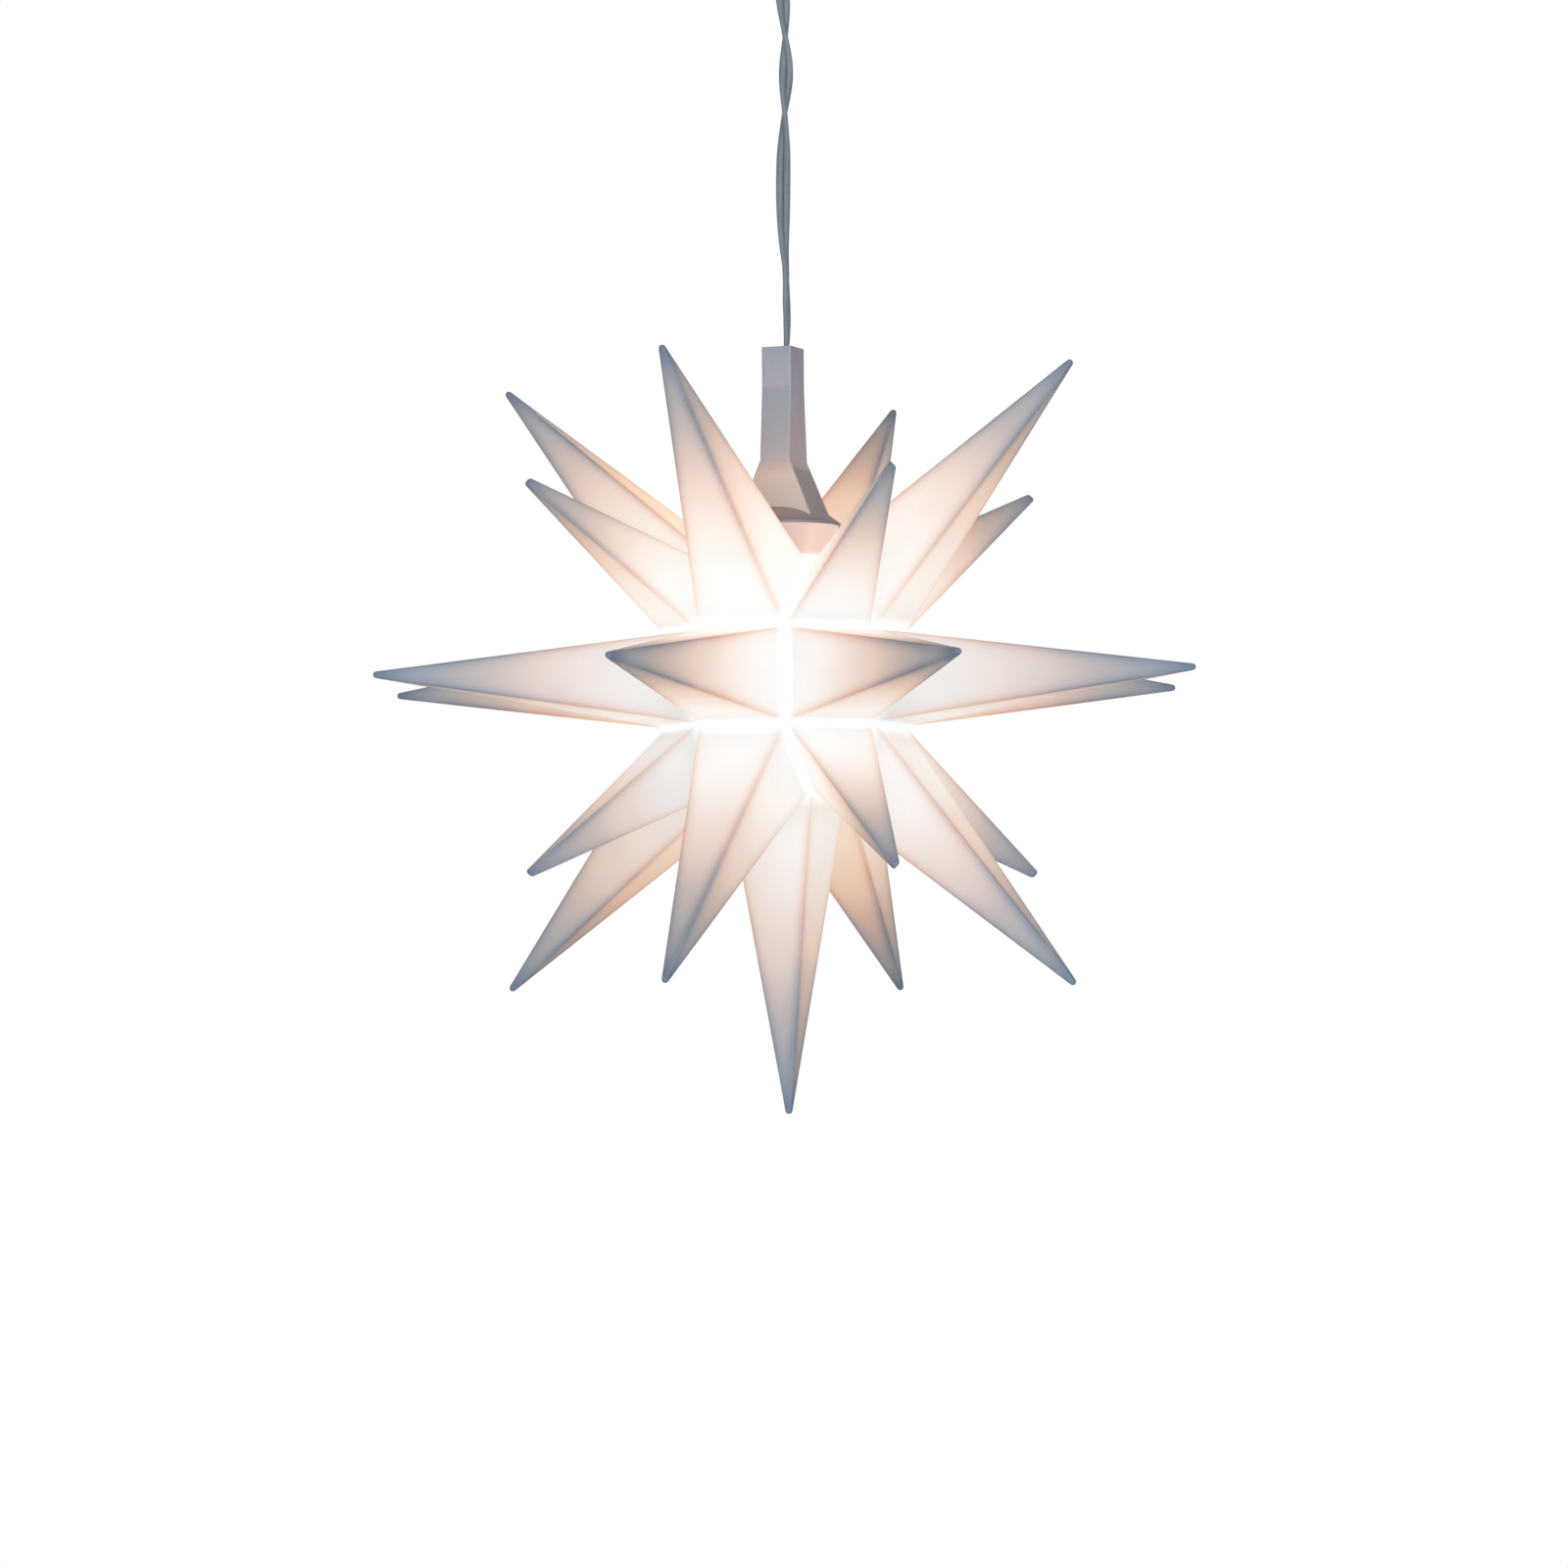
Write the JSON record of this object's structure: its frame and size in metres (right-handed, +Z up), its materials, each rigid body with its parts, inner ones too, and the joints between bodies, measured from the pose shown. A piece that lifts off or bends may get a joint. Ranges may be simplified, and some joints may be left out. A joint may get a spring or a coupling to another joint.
{
  "type": "moravian star pendant",
  "caption": "Many-pointed moulded star on a slim lampholder, hanging on a twisted pair cord from a small round ceiling cup.",
  "frame": {"origin": "centre of the ceiling plate's top face, on the ceiling", "axes": "+Z up, out of the ceiling plate into the ceiling; +X through one of the cup's two side screws, square to a face of the star's core"},
  "size_m": [0.13, 0.13, 0.195],
  "materials": {
    "star_shell": "translucent satin polypropylene",
    "collar_plastic": "translucent satin",
    "plug_plastic": "translucent satin",
    "housing_plastic": "satin",
    "socket_plastic": "satin",
    "contact_brass": "plain",
    "core_insulation": "soft PVC",
    "cord_insulation": "soft PVC",
    "crimp_metal": "plain",
    "lamp_base_plastic": "satin",
    "lamp_wire": "tinned",
    "emitter_metal": "bright",
    "lamp_lens": "clear",
    "plate_steel": "zinc plated",
    "canopy_paint": "satin white",
    "screw_steel": "zinc plated",
    "bush_plastic": "satin",
    "block_plastic": "satin"
  },
  "bodies": {
    "ceiling_fitting": {"ceiling_plate": "plate_steel", "canopy_cup": "canopy_paint", "cup_screws": "screw_steel", "cord_bush": "bush_plastic", "bush_nut": "bush_plastic", "grip_screw": "screw_steel", "cord_end": "cord_insulation", "cord_end_cores": "core_insulation", "terminal_block": "block_plastic", "terminal_inserts": "contact_brass", "terminal_screws": "screw_steel"},
    "hanging_cord": {"hanging_cord": "cord_insulation"},
    "lampholder": {"holder_housing": "housing_plastic", "holder_plug": "plug_plastic", "lamp_socket": "socket_plastic", "contact_left": "contact_brass", "contact_right": "contact_brass", "holder_leads": "core_insulation", "cord_foot": "cord_insulation", "cord_stop": "crimp_metal"},
    "star": {"star_collar": "collar_plastic", "four_point_x0_y0_zn": "star_shell", "four_point_x0_yn_z0": "star_shell", "four_point_x0_yn_zn": "star_shell", "four_point_x0_yn_zp": "star_shell", "four_point_x0_yp_z0": "star_shell", "four_point_x0_yp_zn": "star_shell", "four_point_x0_yp_zp": "star_shell", "four_point_xn_y0_z0": "star_shell", "four_point_xn_y0_zn": "star_shell", "four_point_xn_y0_zp": "star_shell", "four_point_xn_yn_z0": "star_shell", "four_point_xn_yp_z0": "star_shell", "four_point_xp_y0_z0": "star_shell", "four_point_xp_y0_zn": "star_shell", "four_point_xp_y0_zp": "star_shell", "four_point_xp_yn_z0": "star_shell", "four_point_xp_yp_z0": "star_shell", "three_point_xn_yn_zn": "star_shell", "three_point_xn_yn_zp": "star_shell", "three_point_xn_yp_zn": "star_shell", "three_point_xn_yp_zp": "star_shell", "three_point_xp_yn_zn": "star_shell", "three_point_xp_yn_zp": "star_shell", "three_point_xp_yp_zn": "star_shell", "three_point_xp_yp_zp": "star_shell"},
    "lamp": {"lamp_base": "lamp_base_plastic", "lamp_pins": "lamp_wire", "lamp_emitter": "emitter_metal", "lamp_dome": "lamp_lens"}
  },
  "joints": [
    {"name": "cord_swing", "type": "hinge", "parent": "ceiling_fitting", "child": "hanging_cord", "pos_m": [0, 0, -0.0211], "axis": [0, 1, 0], "range_deg": [-12, 12]},
    {"name": "star_turn", "type": "hinge", "parent": "hanging_cord", "child": "lampholder", "pos_m": [0, 0, -0.08], "axis": [0, 0, 1], "range_deg": [-180, 180]},
    {"name": "star_pull_off", "type": "slide", "parent": "lampholder", "child": "star", "axis": [0, 0, -1], "range_m": [0, 0.03]},
    {"name": "lamp_pull_out", "type": "slide", "parent": "lampholder", "child": "lamp", "axis": [0, 0, -1], "range_m": [0, 0.008]}
  ]
}
